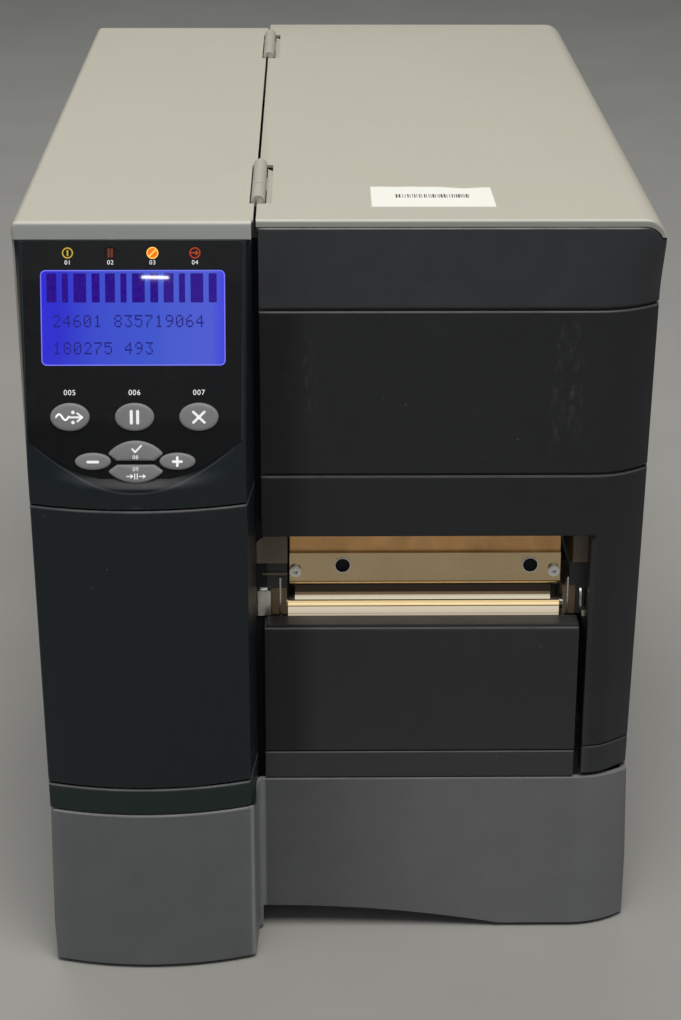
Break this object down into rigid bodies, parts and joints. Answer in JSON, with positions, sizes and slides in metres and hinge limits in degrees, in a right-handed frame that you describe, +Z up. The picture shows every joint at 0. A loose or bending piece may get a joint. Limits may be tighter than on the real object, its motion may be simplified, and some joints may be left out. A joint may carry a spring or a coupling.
{
  "type": "thermal label printer",
  "caption": "Desktop thermal transfer label printer with steel covers, bowed control pillar, hinged media door, lift-up print head, driven platen and ribbon spindles.",
  "frame": {"origin": "centre of the footprint, on the surface that the rubber feet stand on", "axes": "+Z up; -Y towards the front with the control pillar and the label exit; +X to the right of someone facing the front, towards the media door's side"},
  "size_m": [0.278, 0.475, 0.3535],
  "materials": {
    "cover_paint": "warm grey textured powder paint",
    "dark_plastic": "fine-grained moulded plastic",
    "pillar_plastic": "fine-grained moulded plastic",
    "base_plastic": "fine-grained moulded plastic",
    "overlay": "glossy printed film",
    "display": "back-lit display glass",
    "key_grey": "soft moulded rubber-plastic",
    "led_plastic": "moulded light pipe",
    "black_plastic": "moulded",
    "guide_plastic": "moulded",
    "lever_plastic": "moulded",
    "board": "solder mask",
    "plated_steel": "zinc plated sheet",
    "bright_steel": "ground and polished",
    "cast_frame": "die cast",
    "screws": "plated",
    "heatsink": "copper-toned anodised",
    "ceramic": "glazed ceramic",
    "platen_rubber": "ground silicone rubber",
    "rubber": "moulded",
    "window": "tinted clear plastic"
  },
  "bodies": {
    "chassis": {"base_skirt": "base_plastic", "base_plate": "plated_steel", "centre_wall": "plated_steel", "rear_panel": "plated_steel", "left_cover": "cover_paint", "pillar_bezel": "pillar_plastic", "pillar_panel": "pillar_plastic", "pillar_trim": "pillar_plastic", "control_overlay": "overlay", "lcd_lens": "display", "lcd_module": "black_plastic", "led_pipes": "led_plastic", "display_board": "board", "front_lower_panel": "dark_plastic", "front_lower_trim": "dark_plastic", "hinge_fixed_leaves": "cover_paint", "hinge_pins": "bright_steel", "rubber_feet": "rubber", "main_board": "board", "power_supply": "plated_steel", "power_inlet": "black_plastic", "interface_ports": "black_plastic", "stepper_motor": "cast_frame", "print_frame": "cast_frame", "platen_bearings": "bright_steel", "tear_bar": "bright_steel", "media_hanger": "black_plastic", "drive_belt": "rubber", "guide_bar": "bright_steel", "media_sensor": "black_plastic", "cover_screws": "screws", "head_pivot_rod": "bright_steel", "spindle_axles": "bright_steel", "switch_body": "black_plastic"},
    "media_door": {"door_shell": "cover_paint", "door_front": "dark_plastic", "door_window": "window", "door_hinge_leaves": "cover_paint"},
    "print_head_unit": {"head_bracket": "plated_steel", "head_plate": "bright_steel", "head_heatsink": "heatsink", "print_head": "ceramic", "head_screws": "screws", "pressure_toggles": "screws"},
    "latch": {"latch_lever": "lever_plastic"},
    "platen": {"platen_shaft": "bright_steel", "platen_rubber": "platen_rubber", "platen_pulley": "black_plastic"},
    "motor_rotor": {"motor_pulley": "screws"},
    "ribbon_supply": {"supply_spindle": "black_plastic"},
    "ribbon_takeup": {"takeup_spindle": "black_plastic"},
    "roll_guide": {"media_guide": "guide_plastic"},
    "rocker": {"power_rocker": "black_plastic"},
    "button_feed": {"key_feed": "key_grey"},
    "button_pause": {"key_pause": "key_grey"},
    "button_cancel": {"key_cancel": "key_grey"},
    "button_select": {"key_select": "key_grey"},
    "button_exit": {"key_exit": "key_grey"},
    "button_minus": {"key_minus": "key_grey"},
    "button_plus": {"key_plus": "key_grey"}
  },
  "joints": [
    {"name": "media_door_lift", "type": "hinge", "parent": "chassis", "child": "media_door", "pos_m": [-0.0355, 0, 0.3504], "axis": [0, -1, 0], "range_deg": [0, 97]},
    {"name": "head_lift", "type": "hinge", "parent": "chassis", "child": "print_head_unit", "pos_m": [0, -0.112, 0.206], "axis": [-1, 0, 0], "range_deg": [0, 35]},
    {"name": "head_latch_turn", "type": "hinge", "parent": "print_head_unit", "child": "latch", "pos_m": [0.11, -0.15, 0.2075], "axis": [1, 0, 0], "range_deg": [0, 30], "stiffness_Nm_per_rad": 0.02, "springref_deg": -34.38},
    {"name": "platen_spin", "type": "hinge", "parent": "chassis", "child": "platen", "pos_m": [0.03, -0.176, 0.159], "axis": [1, 0, 0], "continuous": true},
    {"name": "motor_spin", "type": "hinge", "parent": "chassis", "child": "motor_rotor", "pos_m": [-0.05, -0.12, 0.128], "axis": [1, 0, 0], "continuous": true},
    {"name": "ribbon_supply_spin", "type": "hinge", "parent": "chassis", "child": "ribbon_supply", "pos_m": [0.03, 0.02, 0.278], "axis": [1, 0, 0], "continuous": true},
    {"name": "ribbon_takeup_spin", "type": "hinge", "parent": "chassis", "child": "ribbon_takeup", "pos_m": [0.03, -0.082, 0.282], "axis": [1, 0, 0], "continuous": true},
    {"name": "roll_guide_slide", "type": "slide", "parent": "chassis", "child": "roll_guide", "axis": [1, 0, 0], "range_m": [-0.085, 0.005]},
    {"name": "rocker_tilt", "type": "hinge", "parent": "chassis", "child": "rocker", "pos_m": [-0.071, 0.2195, 0.1], "axis": [-1, 0, 0], "range_deg": [0, 14]},
    {"name": "feed_press", "type": "slide", "parent": "chassis", "child": "button_feed", "axis": [0, 0.964, -0.2661], "range_m": [0, 0.0012], "stiffness_N_per_m": 300},
    {"name": "pause_press", "type": "slide", "parent": "chassis", "child": "button_pause", "axis": [0, 0.964, -0.2661], "range_m": [0, 0.0012], "stiffness_N_per_m": 300},
    {"name": "cancel_press", "type": "slide", "parent": "chassis", "child": "button_cancel", "axis": [0, 0.964, -0.2661], "range_m": [0, 0.0012], "stiffness_N_per_m": 300},
    {"name": "select_press", "type": "slide", "parent": "chassis", "child": "button_select", "axis": [0, 0.964, -0.2661], "range_m": [0, 0.0012], "stiffness_N_per_m": 300},
    {"name": "exit_press", "type": "slide", "parent": "chassis", "child": "button_exit", "axis": [0, 0.964, -0.2661], "range_m": [0, 0.0012], "stiffness_N_per_m": 300},
    {"name": "minus_press", "type": "slide", "parent": "chassis", "child": "button_minus", "axis": [0, 0.964, -0.2661], "range_m": [0, 0.0012], "stiffness_N_per_m": 300},
    {"name": "plus_press", "type": "slide", "parent": "chassis", "child": "button_plus", "axis": [0, 0.964, -0.2661], "range_m": [0, 0.0012], "stiffness_N_per_m": 300}
  ],
  "couplings": [
    {"joint": "motor_spin", "follows": "platen_spin", "ratio": 1.5556}
  ]
}
